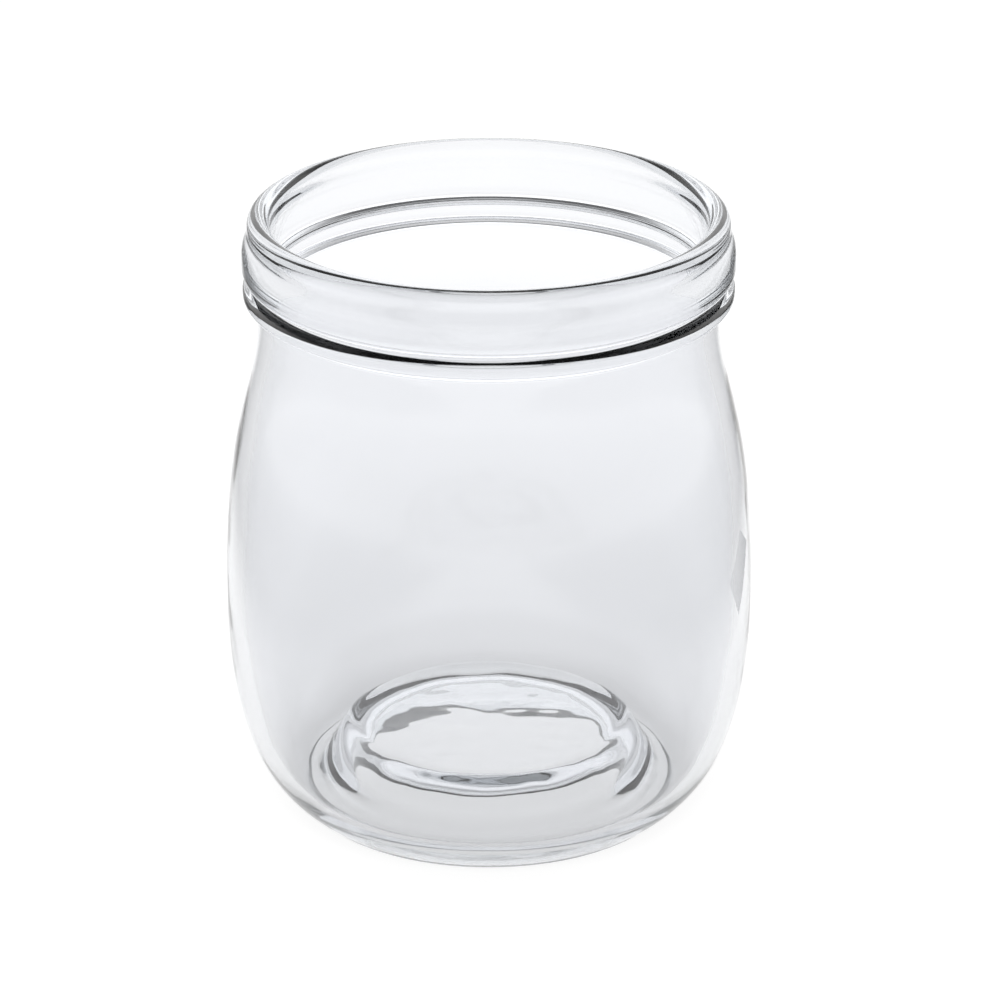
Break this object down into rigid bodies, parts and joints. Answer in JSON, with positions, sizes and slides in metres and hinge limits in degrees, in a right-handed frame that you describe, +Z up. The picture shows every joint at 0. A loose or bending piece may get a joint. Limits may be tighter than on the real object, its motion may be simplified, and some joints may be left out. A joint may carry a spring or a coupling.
{
  "type": "preserving jar",
  "caption": "Small empty wide-mouthed preserving jar in clear glass, barrel-shaped, with a rolled lip, a lid bead and a smaller ring round the neck, and a base pushed up into a plateau with a moat round it.",
  "frame": {"origin": "centre of the base, on the plane of the bearing ring that the jar stands on", "axes": "+Z up along the jar's axis, towards the mouth"},
  "size_m": [0.0724, 0.0724, 0.0855],
  "materials": {
    "clear_glass": "fire-polished"
  },
  "bodies": {
    "root": {"jar": "clear_glass"}
  },
  "joints": []
}
